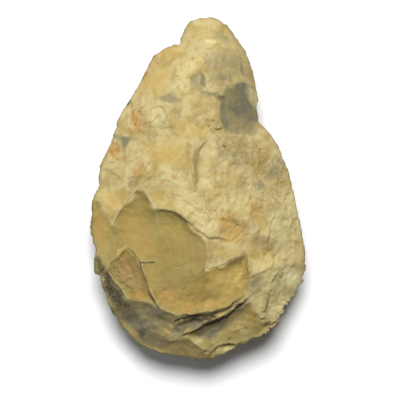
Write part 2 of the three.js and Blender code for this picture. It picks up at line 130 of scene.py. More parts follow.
# Steps, worn ridges and cracks. A row holds how far the face drops on the right of the line in mm, how fast
# it comes back in plan steps, how dark the painted shade at its foot is and how light the painted highlight
# on its lip is, a highlight that also stands for the ridge's worn paleness, and then the points of the line,
# each as across,along. A slash starts another line with the same four numbers.
steps = """
    1.2 9 0.48 0.9: -44,152 -38,150.7 -30,150.2 -23,148 -17,144.5 -12,141 -7,136.5 -2,131 4,127.5 11,123.5
        19,123.5 28,121 33,120;
    1 10 0 1.2: -86,135 -78,147 -68,161 -58,173;
    0.8 10 0.15 1.2: -58,173 -53,168 -48,160 -44,152 -42,146 -41,138 -40,130;
    0.8 9 0.1 0.7: -106,159.5 -99,157.5 -95,151 -91,143 -86,135;
    0.6 9 0.15 0.5: -98,191 -90,190 -85,188 -79,183 -72,176.5;
    0.5 5 0.25 0.6: -71,163 -71,171 -70,179 -66,182 -61,182.5 -57,179;
    0.1 3 0.32 0.2: -55,176 -49,180 -43,186;
    0.24 6 0.1 0.96: -38,182 -28,179 -18,174 -8,170 2,166;
    1.2 6 1 0.5: -71,113 -67,111.5 -62,106.5 -57,99.5 -55,92 -52,84 -49,76 -46,67 -42,59 -38,53 -33,50
        -22,47;
    0.7 6 0.6 0.4: -92,93 -86,99 -80,101 -76,106 -71,113;
    1.6 8 0.4 1: -92,90 -85,81 -78,73 -71,63;
    0.5 5 1 0.5: -58,99.5 -50,98.5 -42,99;
    1.5 12 1.3 0.9: -18,45.5 -13,48 -7,46.2 -1,47.5 5,48.5 12,49 20,50 27,52.5 32,55 34,58.5 38,61.5
        46,66.5;
    1.1 7 1.4 0.7: -15.5,25.5 -10,28.5 -4,31 2,33.5 4,34.5;
    2.3 9 1.2 0.9: 0,32.5 3,35 3.5,37.2 8,39 14,40.5 20,43 24,45 29,48 35,51 41,55.5 45,59.5 49.5,63.5;
    1.3 7 1 0.7: -25.5,37 -22,41.2 -16,43.7 -8,45.2 2,46.2 12,46.2 17,45.4 22,43;
    0.15 4 0 1: 49,63 55,55 60,48 64,42 65,35;
    0.8 8 0 0.8: -8,22 -2,15 7,10 14,8;
    0.6 4 0.9 0.4: -31,20.5 -28,18.5 -22,20 -16,18;
    1.4 6 1.2 0.7: 13,7 18,12 24,15 30,15.7 36,15.5 40,15;
    1 4 1 0.8: 15,4 22,6.5 30,8 36,10;
    0.5 3 0.6 0.6: 12,13 17,16 24,20;
    0.6 3 0.9 0.4: 38,14.5 43,17.5 49,19;
    0.6 3 0.8 0.4: 51,21 55,23.5 58,26;
    1 3 1.1 0.8: 59,22.5 66,25 73,28.5;
    0.9 3 1 0.8: 74,30 78,35 81,39;
    0.8 3 1 0.7: 83,44 87,48 90,53;
    0.8 3 0.9 0.7: 94,57 98,62 101,67;
    1.1 4 1.1 0.7: 64,33 68,36.5 73,40;
    1 3 1 0.7: 70,35 74,37 80,40;
    0.6 3 1 0.5: 61.5,41 64,42 67,42.5;
    0.5 3 0.8 0.4: 78,45 81,48;
    0.6 3 0.9 0.3: 81,45 85,46.5 88,51 / 101,73 103.5,77;
    0.6 3 1 0.3: 97,66 100,68 101.5,72;
    0.7 6 1 0.5: 73,77 76,82.5 79,87;
    0.8 6 0.8 0.5: 63,48 68,53 69,60 71,68 74,73;
    0.4 6 0.4 0.4: 78,70 82,79 84,88 87,95.5;
    0.3 4 0.5 0.3: 65.5,72 66,75 68,79 / 73,120 75,122 77,126 / -71,221 -65,219.5 -59,220;
    0.4 5 0.6 0.4: 91,124 92,129 93.5,136 95,142;
    0.3 4 0.6 0.3: 89,131 90,124 89.5,117 / 84,119 87,118.5 90,117 / 77,153 77.5,149 78,145;
    0.28 3 0.39 0.3: 8,220.5 3,216.5 -1,210 -3.5,203 -5,195 -5.5,188 -4.5,180 -2,173;
    0.64 8 0.33 0.3: 1,172 -2,180 -3.5,189 -3,197 -1,205 3,212.5 9,219;
    0.2 4 0.5 0.3: 28,179 29,170 30,160 31,150;
    0.2 4 0.45 0.2: 5.5,169 7,161 8,152;
    0.4 4 1 0.3: 15,231 20,229.5 24,230.5;
    0.2 4 0.4 0.2: 15,170 18,177 15,182;
    0.3 3 0.8 0.2: 24,214.5 29,211.5 / 56.5,213 59,210.5;
    0.3 3 0.7 0.2: 60,209 62,210.5 65,211;
    0.3 3 0.45 0.2: 62.5,209 62,199 61,189;
    0.5 7 0 0.8: 45,178.5 49,176 53,171.5;
    0.8 8 0.15 1.2: 9,92 14,94.5 24,96.5 32,101.5 39,104 48,109.5;
    0.7 6 0.3 0.8: 51,84 59,87 67,90;
    0.3 3 0.7 0.4: 47,107 49,101 48,95 49,89;
    0.3 3 0.5 0.3: 43,98 45,90 46.5,83;
    0.2 3 0.7 0.2: -19.5,238 -19,243 -17.5,250;
    0.6 3 0.9 0.2: -71.5,254.5 -69,259;
    0.3 3 0.5 0.6: 32.5,120 38,125 44,131;
    0.2 3 0.6 0.4: 34.5,133 39,137;
    0.5 6 0.15 0.7: 23,262 27,269.5 31,274 38,276 43,278;
    0.3 3 0.35 0.1: 0,287.5 -4,283.5 -6,278 -5.5,271 -4,265;
    0.4 5 0.4 0.2: -1,287 3,285 5.5,281 4.5,276 2.5,272;
    0.4 5 0.4 0.7: -50,239 -49.5,245 -47,250 -41,253.5 -35,252 -31.5,247 -30.5,240 -32,235;
    0.2 4 0.5 0.4: -49,234.5 -43,231.5 -35,232.5;
    0.3 4 0.1 0.6: -33,256 -30,252.5 -24,254.5 -18,253;
    0.2 3 0.5 0.2: -50,224 -48,218 / 10,71.5 17,70.5;
    0.2 3 0.4 0.2: -39,69 -35,71 -28,73.5 / -59,73 -55,71 -50,71.5;
    0.3 3 0.7 0.3: 22.5,32 25,38 29,43;
    0.3 3 0.6 0.3: 35,27.5 42,31.5 51,33.5;
    0.4 3 0.9 0.3: 29.5,20 33,24;
    0.2 3 0.4 0.3: 56,208 52,211 45,213 / 74,194 75,200 78,207;
    0.2 4 0.3 0.5: -15,138 -6,139 5,134 14,130;
    0.2 4 0.3 0.4: -20,160 -8,157 2,148 14,146;
    0.3 4 0.4 0.3: 64,142 70,138 72,130;
    0.3 4 0.3 0.4: 52,164 60,161 70,159;
    0.3 4 0.4 0.4: 74,164 78,159 83,154;
    0.25 2.5 0.29 0.3: -14,210 -12,213.5 -9,216 / 43,184 45,188 47,191 / 54,139 56,134 55,129 / 78,107
        81,111 85,113 / 58,68 61,72 62,76 / -60,210 -55,209 -51,211;
    0.25 2.5 0.25 0.3: -22,227 -19,223 -18.5,218 / 47,155 50,160 52,164 / 58,146 60,151 63,154 / 66,134
        68,139 69,144 / 94,110 97,115 98,120 / 70,98 72,103 75,106 / -70,214 -67,210 -67,204 / -46,219
        -42,214 -41,209 / -28,272 -26,276 -26,280 / 14,226 19,223 23,219 / 42,221 48,219 53,215 / 67,208
        71,203 72,198 / 78,196 81,201 83,205 / -38,138 -32,136 -26,137;
    0.2 2 0.25 0.2: -38,223 -32,224 -28,222 / 17,192 20,195 24,196 / 38,168 40,163 40,158 / -12,155 -8,157
        -5,156 / -22,165 -18,164 -14,161 / 5,142 9,139 13,139;
    0.2 2 0.25 0.3: 34,195 37,199 38,203 / 39,113 42,116 44,118;
    0.3 3 0.29 0.4: 64,168 68,166 72,169 / 79,169 84,166 87,161 / 86,144 88,139 87,134 / 64,60 65,65 67,69;
    0.3 3 0.34 0.4: 55,127 54,122 55,118 / 59,129 60,123 59,117;
    0.2 2 0.29 0.3: 77,60 79,65 82,69 / 48,98 48,103 46,107 / 37,117 40,120 43,122;
    0.2 2 0.29 0.2: 24,135 27,138 31,139;
    0.25 2.5 0.29 0.4: -76,240 -74,244 -70,247 / -68,236 -65,239 -64,243 / -80,229 -77,232 -73,233 /
        -22,274 -21,280 -19,285 / -14,268 -13,272 -10,275;
    0.25 2.5 0.25 0.4: -17,288 -14,291 -10,293;
    0.2 2 0.21 0.3: 5,300 8,297 9,293 / 26,302 31,300 36,300 / 32,288 36,286 42,285;
    0.2 2 0.21 0.2: 14,308 20,306.5 28,307 / -12,246 -10,241 -11,236 / -2,232 3,229 8,229 / -16,68 -8,66
        -1,67;
    0.2 2 0.17 0.2: -30,98 -23,95 -16,96;
    0.25 2.5 0.21 0.3: -80,86 -74,79 -68,74;
    0.2 2.5 0.21 0.3: -86,92 -78,93 -69,90 -61,83;
    0.2 2.5 0.19 0.3: -80,88 -71,85 -64,78 -60,70;
    0.2 2.5 0.17 0.3: -70,98 -64,94 -59,87;
    0.3 2.5 0.29 0.4: -50,20 -45,17 -40,17 / -14,17 -8,13 -1,13;
    0.3 2.5 0.29 0.5: 42,24 47,25 52,28;
    0.3 5 0.13 0.4: 64,113 74,110 84,108;
    0.3 4 0.17 0.3: 94,79 98,76 101,79;
    0.3 4 0.13 0.4: 48,72 54,68 60,60
"""

# Pits of a millimetre or less, each sunk a little and darkened with painted shade.
pits = [
    (8.5, 238), (16.5, 237), (11, 232), (-61.3, 206), (-6, 299.7), (11, 149), (17, 148.5), (-3, 169),
    (-35, 67.5), (39, 135), (83, 87), (47, 212.5), (94, 88.5), (-33, 234.5), (24, 141), (60, 129),
]

# Patches of other colour by kind. A row holds the strength, the softness of the border in plan steps, and
# then the corners. A slash starts another patch with the same two numbers. A gap is painted shadow under a
# step or overhang.
patches = {
    "grey": """
    1.1 2.6: 26,262 30,270 35,273.5 42,277 47.5,276 46.5,270 45.5,264 48.5,257 54,253 61,248 60,242 52,238
        40,240 32,248 28,256;
    0.8 3: 23,262 28,265 31,255 30,242 33,229 26,231 22,236 20.5,244 21.5,254;
    0.66 4.5: 22,261 27,269 33,275 42,279 50,276 47,268 48,258 54,250 61,244 61,236 48,233 34,233 24,236
        21,248;
    1.15 4: 40,278 49,276 46,266 49,256 56,249 61,242 58,236 46,239 40,251 38,266;
    0.62 7: 23,242 42,244 61,244 63,232 52,225 36,225 25,228;
    0.7 1.5: -76,223 -70,222 -71,216 -73,210 -75,216;
    0.35 5: 67,190 78,196 83,189 75,181 67,182;
    0.3 4: 55,179 60,182 64,177 62,171 57,173;
    0.75 6: -78,46 -66,51 -54,61 -42,55 -32,48 -28,38 -35,27 -48,19 -60,23 -70,32;
    0.6 4: -58,27 -40,29 -28,22 -32,10 -48,10 -58,18;
    0.8 5: -26,30 -22,39 -14,42 2,44 16,42 5,39 3,34 -8,29 -18,26 -26,26;
    0.5 3: -34,46 -22,44 -26,34 -32,30 -38,38 / 19,282 23,285 27,282 27,277 22,276;
    0.7 4: 2,32 24,39 28,31 18,22 5,21 -2,26;
    0.6 2: -105,104 -100,102 -95,89 -96,81 -101,84 -104,92;
    1.05 1.8: 2.5,285.5 5.5,284 6,278 4.5,274 2.5,277 2.5,282;
    0.55 1.6: 39.5,292 40.5,297 43,298 45.5,295.5 44,294 42.6,294 42,289 43,283 40.5,284;
    0.85 2.2: 1.5,285 6,283 8,276 5,271 1,273 2.5,279;
    0.5 2: -6.5,279 -3,285.5 1,286 -2.5,279 -1,271 -5,272;
    0.6 3: -4,272 2,269 11,265 21,267 24,262 16,259 4,262;
    0.6 1.8: 20.5,284 26,284 27.5,279 24,276.5 19.5,279;
    0.55 1.5: 40.5,297 45,295 47,287 45,282 41,288;
    0.45 5: -2,30 18,36 36,44 38,36 22,26 2,22;
    0.5 4: -74,60 -58,54 -56,42 -68,38 -76,46
    """,
    "mist": """
    0.8 2: 25.5,263 27.5,266 30.5,264.5 30,261.5 27,260.5;
    1.15 2.5: 47,274 59,273 62,263 62,250 54,252 48,256 45.5,263;
    0.4 4: 10,327 24,328 30,322 38,312 28,314 14,321;
    0.5 3: 28,334 42,318 50,300 54,284 46,298 38,312 30,324;
    0.6 3: -6.5,278 -5,284 -1,287.5 4,287 7,282 7,276 4,270 1,265 -4,268 -6,273;
    0.5 4: 46,298 52,294 57,280 59,272 50,276 45,284 / 24,234 40,229 58,234 62,226 48,221 30,223;
    0.62 9: 8,286 18,289 32,288 38,280 28,272 18,266 10,272;
    0.45 3: -37,301 -28,302 -25,294 -32,291 -37,295;
    0.85 2.5: -37,261 -32,264 -27,265 -22,262 -16,260 -20,256 -28,255 -34,256;
    0.8 3: -86,229 -79,227 -72,223 -67,221 -70,216 -71,208 -69,200 -68,192 -72,198 -75,208 -77,216 -83,220;
    0.6 6: 64,188 71,194 81,197 89,191 87,182 75,179 66,181;
    0.6 4: 78,205 85,203 91,192 86,188 79,196;
    0.8 5: 54,179 58,184 64,180 66,172 60,169 55,173;
    0.45 4: 75,178 85,180 93,175 87,170 77,170;
    0.8 3.5: 48,77 55,85 64,84 67,79 59,74 52,74;
    0.6 1.5: 83,71 90,74 99,68 93,61 84,63;
    0.5 2: 93,92 100,90 102,83 96,82 / -24,251 -18,250 -19,238 -23,240;
    0.35 4: 17,225 52,220 58,210 52,195 34,192 18,200 / -20,200 -6,210 -6,180 -16,180;
    0.35 5: 62,155 77,157 92,146 84,134 66,138;
    0.4 3: 30,145 50,140 52,128 42,132;
    0.55 6: 12,330 24,330 34,320 28,310 18,320;
    0.55 8: 2,306 42,308 50,294 38,284 6,288;
    0.6 2: -49.5,241 -47,249.5 -41,252.5 -35,251 -31.5,244 -32.5,237 -38,233.5 -46,234
    """,
    # Some of these lighten slopes that face away from the key light and are painted light: the strong ones on
    # the lower right at 82,94, 80,90 and 64,98, and the wide one at 12,90. The others are pale crust.
    "cream": """
    0.65 3: 50,272 60,270 62,252 54,253 49,260;
    0.75 4.5: -23,289 -16,294 -8,298 -3,296 -5,287 -8,280 -6,272 -11,267 -20,264 -27,269 -24,279;
    1 0.8: 5,317 9,319.5 15,319.5 19,317 15,313.5 9,313;
    0.8 1.6: -49.5,241 -47,249.5 -41,252.5 -35,251 -31.5,244 -32.5,237 -38,233.5 -46,234;
    0.5 6: -26,172 -12,174 2,167 6,152 16,146 21,136 18,126 8,127 -2,134 -10,144 -22,150 -24,160 / 78,107
        102,104 106,94 92,94 82,98 / 64,220 78,216 88,200 78,202 68,210;
    0.45 3: 2,210 8,218 13,214 13,172 5,170 1,184;
    0.8 4: 51,101 60,101 67,97 66,90 57,86 50,90;
    1.45 8: 82,94 94,92 105,84 102,72 84,73;
    0.75 8: 64,98 82,102 82,70 68,64 58,76;
    0.55 12: 64,170 98,170 106,140 108,98 92,92 74,110 64,130;
    0.45 10: 16,180 52,182 58,160 42,140 16,154;
    0.7 10: 48,70 68,70 66,50 58,48 50,60;
    0.9 6: 70,62 90,62 88,51 80,46 70,47;
    0.5 2: 60,48 69,48 71,43 64,42;
    0.75 1: 14,4.5 18,9.5 25,12.5 34,13.5 37,12.5 30,9.5 22,7 16,4;
    0.4 3: -77,248 -65,252 -65,240 -70,228 -78,234 / 12,268 24,269 30,276 24,263 18,262 / -38,184 -20,176
        -22,164 -38,170;
    1 1: 7,93 11,94 11,90 7,90;
    0.6 1.5: 24,48 34,56 46,64 45,60 34,51 24,45;
    0.35 4: 34,175 52,170 54,148 34,148;
    0.5 5: 76,176 88,170 92,154 82,156;
    0.5 4: 86,106 102,106 106,96 90,96;
    0.25 5: -6,260 8,256 14,242 0,242;
    0.6 7: 80,90 102,94 104,70 82,66;
    0.3 8: 12,90 42,92 46,76 22,68;
    0.35 6: 20,322 38,316 45,300 28,298;
    0.3 7: -48,286 -28,292 -24,272 -46,268;
    0.45 2.5: 17,262 24,269 32,275 41,280.5 43,279 34,273 27,267 21,261;
    0.4 5: -2,200 12,210 14,172 2,172
    """,
    "brown": """
    0.15 6: 1,312 16,310 34,311 45,304 53,290 56,276 42,278 30,276 22,270 10,270 5,276 8,286 5,296 8,304;
    0.8 3: 4,269 13,266.5 21,264 24,261 21,259 14,260.5 7,264;
    0.5 6: 53,127 60,130 70,124 83,121 92,119 92,111 81,107 68,111 57,110 52,118;
    0.5 3: 7,302 14,298 12,290 5,294 / 42,110 49,111 51,82 46,81 / -55,98 -48,85 -42,70 -34,57 -38,54
        -46,66 -52,80 -57,94 / 45,132 51,128 48,116 40,114 / 85,146 90,136 88,124 83,132 / 64,80 72,77
        70,64 64,70;
    0.55 3: 30,102 38,106 42,102 40,96 32,96;
    0.6 3: -33,20 -8,21 7,10 2,2 -23,3 -33,10;
    0.4 5: -12,259 17,257 21,238 12,230 -8,234 / -70,128 -52,134 -42,120 -58,104 -70,110 / 38,180 52,174
        48,162 38,166;
    0.6 4: -90,94 -70,110 -58,98 -50,70 -68,64 -80,74 / 7,122 15,120 17,102 11,94 5,104;
    0.9 2: -2,210 5,216 11,219 7,212 1,202 -1,192 0,180 1,172 -3,174 -5,188 -5,200;
    0.5 2.5: -3,311 16,311 42,310 43,306 16,306 -3,308;
    0.6 2.5: 6,290 18,293 20,289 8,287;
    0.6 2: -70,179 -66,182 -60,182 -57,178 -62,170 -67,163 -71,164;
    0.5 2: -97,191 -86,189 -78,182 -82,182 -90,186 -97,187 / 60,210 64,210 64,188 60,188 / -7,287 0,289
        5,286 0,285 -4,281 -5,270 -7,274;
    0.7 3: 20,142 34,144 42,141 49,135 45,131 36,138 24,137;
    0.7 5: -38,73 -22,74 -8,67 8,64 6,60 -12,62 -26,68 -38,66;
    0.5 4: 15,210 24,217 34,210 28,200 18,202 / 24,35 36,42 42,34 32,26 / -12,220 -2,214 -6,194 -14,200 /
        26,210 48,210 52,194 34,188;
    0.4 4: 70,162 78,156 78,144 70,148 / 82,116 94,116 102,108 88,106 / -30,234 -16,232 -20,220 -32,222;
    0.45 4: -48,230 -38,224 -48,210 -58,216;
    0.4 6: 92,160 99,154 102,128 94,124 89,140 / 64,120 82,116 78,102 64,104 / -26,108 -12,104 -14,84
        -26,88;
    0.55 4: 0,128 10,118 10,90 5,82 0,98 -2,114;
    0.4 7: -46,96 -30,98 -24,76 -40,72;
    0.35 5: 46,224 64,222 64,212 48,212 / -60,122 -42,124 -40,108 -58,106 / -14,136 0,128 2,108 -10,110;
    0.5 7: 8,122 24,124 28,104 16,94 8,98;
    0.45 6: 24,42 48,54 52,42 40,30 24,28;
    0.35 6: -48,174 -22,174 -16,158 -38,152 -50,162;
    0.3 6: -84,98 -58,98 -54,76 -74,74;
    0.3 5: -38,300 -22,302 -20,290 -36,288
    """,
    # The wide patch at 7,92 is golden stone, lightened as painted light on a slope that faces away from the
    # key light.
    "gold": """
    0.45 5: 10,116 26,118 45,116 44,109 32,102 20,97 11,96;
    0.4 6: -38,70 -22,74 -2,70 16,62 8,52 -13,50 -30,53 / 34,48 52,54 60,34 38,32;
    0.35 7: -24,76 8,84 16,68 4,54 -20,58;
    1.1 8: 9,88 30,94 44,98 46,76 28,68 10,70;
    0.6 5: 2,62 30,66 24,56 6,52;
    0.6 6: 11,114 34,114 28,104 12,98 / -58,276 -40,294 -28,304 -26,288 -48,262 / 18,138 34,136 48,126
        42,112 24,120;
    0.55 9: 38,164 64,164 66,134 48,132 38,148;
    0.5 7: -52,152 -26,166 -22,154 -40,154 / -28,234 2,240 18,226 -2,218 -22,220;
    0.6 9: -58,220 -30,214 -26,194 -50,200;
    0.3 6: 18,30 34,34 28,18 16,16;
    0.5 4: 64,90 80,108 92,102 86,88;
    0.7 5: -40,286 -26,290 -28,268 -42,262;
    0.4 5: -102,210 -86,220 -80,200 -94,190;
    0.25 8: -60,122 -40,126 -38,104 -54,100;
    0.5 6: -102,172 -86,170 -72,166 -84,144 -94,152 / -48,174 -22,174 -18,160 -38,154 -50,162;
    0.7 9: 7,92 42,98 54,76 17,64;
    0.4 7: 14,60 42,60 46,44 28,44 / -70,220 -52,224 -48,202 -66,200;
    0.45 7: -106,156 -94,150 -84,128 -86,106 -98,106 -105,120;
    0.7 6: 18,144 38,146 48,136 40,124 24,130;
    0.5 9: -38,226 -8,224 -8,190 -38,188;
    0.3 7: -30,134 -6,134 -2,116 -26,114;
    0.35 6: -40,146 -26,146 -22,128 -38,124;
    0.35 5: -72,148 -52,144 -42,116 -58,110 -74,128
    """,
    "rust": """
    1.3 2: -67,244 -63,252 -57,257 -54,254 -56,247 -57,241 -60,236 -58,229 -63,230 -67,237;
    0.8 1.5: -71,231 -67,231 -66,226 -70,227 / -38,308 -32,310 -32,306 -37,304 / -26,314 -21,316 -20,312
        -25,312;
    1.15 2: -88,210 -82,216 -77,217 -78,208 -81,201 -86,202;
    0.6 3: -61,194 -56,202 -45,201 -45,197 -52,193 -58,183 -67,182;
    0.7 1.5: -55,182 -43,188 -46,180 -55,176 / 34,70 42,71 42,66 35,65;
    0.9 1: -38,180 -32,181 -34,176 -38,176;
    0.8 1: -27,184 -21,186 -22,180 -26,181;
    0.7 1: 8,168 11,171 11,152 8,153;
    0.55 6: 20,138 24,146 34,144 42,140 48,136 44,130 34,121 24,122 18,128;
    0.7 2: 43,110 49,111 51,82 46,81;
    0.5 6: -40,70 -28,75 -13,68 7,71 18,60 8,50 -13,49 -28,51 -38,60;
    0.8 2: 1,59 10,60 10,53 3,52 / -67,28 -60,28 -59,22 -65,22;
    1 1.5: 49,49 56,49 57,40 51,40;
    0.6 2: 102,104 108,102 108,92 103,92;
    0.5 4: -106,156 -98,154 -91,138 -94,116 -104,120;
    0.55 4: -59,278 -48,292 -42,300 -38,294 -46,282 -51,268 -60,262;
    0.5 2: -27,308 -21,308 -22,292 -25,294;
    0.4 3: -70,68 -48,72 -46,60 -58,58 / -78,115 -63,104 -66,98 -83,102;
    0.3 4: 52,160 72,158 70,140 50,142 / 64,212 74,214 72,202 65,200;
    0.4 4: -81,180 -76,170 -80,155 -90,145 -94,156;
    0.3 5: -86,102 -72,110 -60,98 -54,84 -58,70 -70,76 -82,88;
    0.3 7: -76,144 -48,132 -40,108 -58,106 -76,122
    """,
    # Most of these are dark grey stone; the small one at -101,104 on the left rim is painted shade on a steep
    # bevel.
    "dark": """
    0.95 4: -94,84 -91,90 -87,83 -84,76 -77,69 -71,62 -74,54 -82,55 -90,62 -96,72;
    0.7 4: -82,55 -71,62 -61,60 -57,53 -65,47 -74,43 -82,48;
    0.8 1.5: -101,104 -97,99 -92,93 -95,89 -100,92 -103,98;
    0.6 2: -61,30 -55,32 -52,27 -54,21 -59,23;
    0.7 2: 20,260 24,263 25,259 21,257;
    0.55 3: -94,86 -87,79 -78,68 -68,61 -70,48 -82,53 -91,67;
    0.55 4: -90,64 -76,60 -62,56 -58,46 -66,38 -78,38 -87,48;
    0.5 1.2: -72,259 -69,262.5 -67,262 -69,256 -71.5,253
    """,
    # painted shadow, mostly under steps and overhangs
    "gap": """
    1 2: -24,38 -18,41.5 -12,43.2 -6,44.2 7,45.2 16,45 20,43 10,41.5 -2,40.5 -12,39.5 -20,37;
    1.2 1: 3,35 10,38.5 16,40.5 24,44.5 34,50.5 45,59 49.5,63 48.5,60 43,54 36,48 30,43 21,38.5 11,35 4,33;
    0.26 4: 5,33 28,42 49,62 51,56 44,47 32,39 16,33 8,30;
    0.25 3: 32,270 40,276 48,276 45,264 38,261 32,263;
    0.8 0.8: -15,26 -8,29 3,33.5 5,32 -6,28
    """,
}


def hashed(i, j, seed):
    # a random number from -1 to 1 for each pair of whole numbers, stirred by big odd factors
    mixed = (i * 374761393 + j * 668265263 + seed * 974634777) & 0x7FFFFFFF
    mixed = ((mixed ^ (mixed >> 13)) * 1274126177) & 0x7FFFFFFF
    return ((mixed ^ (mixed >> 16)) & 0xFFFF) / 32767.5 - 1


def lattice(x, y, seed):
    # smooth noise from -1 to 1, with a cell of 1
    left, under = np.floor(x).astype(np.int64), np.floor(y).astype(np.int64)
    fx, fy = x - left, y - under
    fx, fy = fx * fx * (3 - 2 * fx), fy * fy * (3 - 2 * fy)
    lower = hashed(left, under, seed) * (1 - fx) + hashed(left + 1, under, seed) * fx
    upper = hashed(left, under + 1, seed) * (1 - fx) + hashed(left + 1, under + 1, seed) * fx
    return lower * (1 - fy) + upper * fy


def cloud(x, y, cell, octaves, seed):
    # layers of smooth noise, each half as wide as the one before, and moved so that their cells don't line up
    total = np.zeros_like(x)
    for octave in range(octaves):
        scale = 2 ** octave / cell
        total += lattice(x * scale + 17.3 * octave, y * scale - 9.1 * octave, seed + octave) / 1.9 ** octave
    return total


def smooth(start, end, value):
    share = np.clip((value - start) / (end - start), 0, 1)
    return share * share * (3 - 2 * share)


def readRows(text):
    # each line of points with the numbers that stand before it
    rows = []
    for group in text.split(";"):
        numbers, lines = group.split(":")
        numbers = [float(number) for number in numbers.split()]
        for line in lines.split("/"):
            points = [tuple(float(part) for part in point.split(",")) for point in line.split()]
            rows.append((numbers, points))
    return rows


def curveAt(a, b, c, d, share):
    # a smooth curve from b to c, with a before it and d behind it
    bend = 2 * a - 5 * b + 4 * c - d + share * (3 * (b - c) + d - a)
    return b + 0.5 * share * (c - a + share * bend)


def closedCurve(place):
    # the outline at a place counted in its points, through all of them
    index = np.floor(place).astype(int)
    points = np.array(outline, float)
    a, b, c, d = (points[(index + shift) % len(points)] for shift in (-1, 0, 1, 2))
    return curveAt(a, b, c, d, (place - index)[:, None])


def openCurve(points, parts=4):
    ring = np.array([points[0], *points, points[-1]], float)
    out = []
    for a, b, c, d in zip(ring, ring[1:], ring[2:], ring[3:]):
        out += [curveAt(a, b, c, d, share) for share in np.arange(parts) / parts]
    return np.array(out + [ring[-1]])


def segmentGap(x, y, start, end):
    # how far a place is from a straight line, how far along that is, and on which side
    dx, dy = end[0] - start[0], end[1] - start[1]
    share = np.clip(((x - start[0]) * dx + (y - start[1]) * dy) / (dx * dx + dy * dy + 1e-9), 0, 1)
    ox, oy = x - start[0] - share * dx, y - start[1] - share * dy
    return np.hypot(ox, oy), share, dx * oy - dy * ox


def nearBox(x, y, points, reach):
    # the places within reach of the box that holds the points
    (left, bottom), (right, top) = np.min(points, 0) - reach, np.max(points, 0) + reach
    return np.nonzero((x > left) & (x < right) & (y > bottom) & (y < top))


def isCrossed(x, y, start, end):
    # whether a line from the place towards +X meets this side: inside a ring it meets an odd number of them
    if start[1] == end[1]:
        return np.zeros(x.shape, bool)
    isLevel = (start[1] > y) != (end[1] > y)
    return isLevel & (x < start[0] + (y - start[1]) * (end[0] - start[0]) / (end[1] - start[1]))


def ringGap(x, y, ring):
    gap = np.full(x.shape, farAway)
    isInside = np.zeros(x.shape, bool)
    for start, end in zip(ring, ring[1:] + ring[:1]):
        gap = np.minimum(gap, segmentGap(x, y, start, end)[0])
        isInside ^= isCrossed(x, y, start, end)
    return gap, isInside


fineOutline = closedCurve(np.arange(0, len(outline), 0.25))


def reachFromSpine(x, y):
    # 0 on the spine and 1 at the edge
    inner = segmentGap(x, y, *spine)[0]
    outer = np.full(x.shape, farAway)
    for start, end in zip(fineOutline, np.roll(fineOutline, -1, 0)):
        outer = np.minimum(outer, segmentGap(x, y, start, end)[0])
    return inner / (inner + outer + 1e-9)


# How ridges, steps and colour borders wander, so that none is ruled straight. A layer holds how far in plan
# steps, the cell of the noise, its octaves and two seeds.
wander = {
    "scars": [(1.3, 16, 3, 11, 31)],
    "steps": [(0.7, 13, 2, 71, 91), (0.3, 4, 2, 76, 96)],
    "patches": [(1.7, 10, 2, 201, 231), (0.8, 3.5, 2, 211, 241)],
}


def wandered(kind, x, y):
    wx, wy = x, y
    for far, cell, octaves, seedAcross, seedAlong in wander[kind]:
        wx = wx + far * cloud(x, y, cell, octaves, seedAcross)
        wy = wy + far * cloud(x, y, cell, octaves, seedAlong)
    return wx, wy


def carveUpper(x, y):
    # how much of the height the scars leave, with their tone and ripples
    wx, wy = wandered("scars", x, y)
    left, tone, ripple = np.ones(x.shape), np.zeros(x.shape), np.zeros(x.shape)
    for names, bite, ease, scarTone, rippleHeight in scars:
        ring = [corners[name.strip("~")] for name in names.split()]
        eases = [ease * (3 if "~" in name else 1) for name in names.split()]
        near = nearBox(wx, wy, ring, 0)
        px, py = wx[near], wy[near]
        border = np.zeros(px.shape)
        isInside = np.zeros(px.shape, bool)
        for start, end, edgeEase in zip(ring, ring[1:] + ring[:1], eases):
            border += np.exp(-3 * segmentGap(px, py, start, end)[0] / edgeEase)
            isInside ^= isCrossed(px, py, start, end)
        if not bite:
            tone[near[0][isInside]] = scarTone
            continue
        here = np.where(isInside, 1 - bite * (1 - np.minimum(border, 1) ** (1 / 3)), 2)
        isLowest = here < left[near]
        chosen = near[0][isLowest]
        left[chosen] = here[isLowest]
        tone[chosen] = scarTone
        ripple[chosen] = rippleHeight * ripples(px[isLowest], py[isLowest], np.mean(ring, 0))
    return left, tone, ripple


def ripples(x, y, middle):
    # arcs round the place where the flake was struck, which lies outwards from the scar's middle
    strikeReach = 36  # plan steps
    away = middle - np.clip(middle, *core)
    strike = middle + away / (np.hypot(*away) + 1e-9) * strikeReach
    distance = np.hypot(x - strike[0], y - strike[1])
    return np.sin(distance * 0.8 + 1.5 * cloud(x, y, 25, 2, 5))


def nearestOnLine(x, y, line):
    # how far the line is, on which side it runs, and how far along it the nearest place is
    best, side, place = np.full(x.shape, farAway), np.zeros(x.shape), np.zeros(x.shape)
    for number, (start, end) in enumerate(zip(line, line[1:])):
        gap, share, turn = segmentGap(x, y, start, end)
        isNearer = gap < best
        best = np.where(isNearer, gap, best)
        side = np.where(isNearer, turn, side)
        place = np.where(isNearer, (number + share) / (len(line) - 1), place)
    return best, side, place


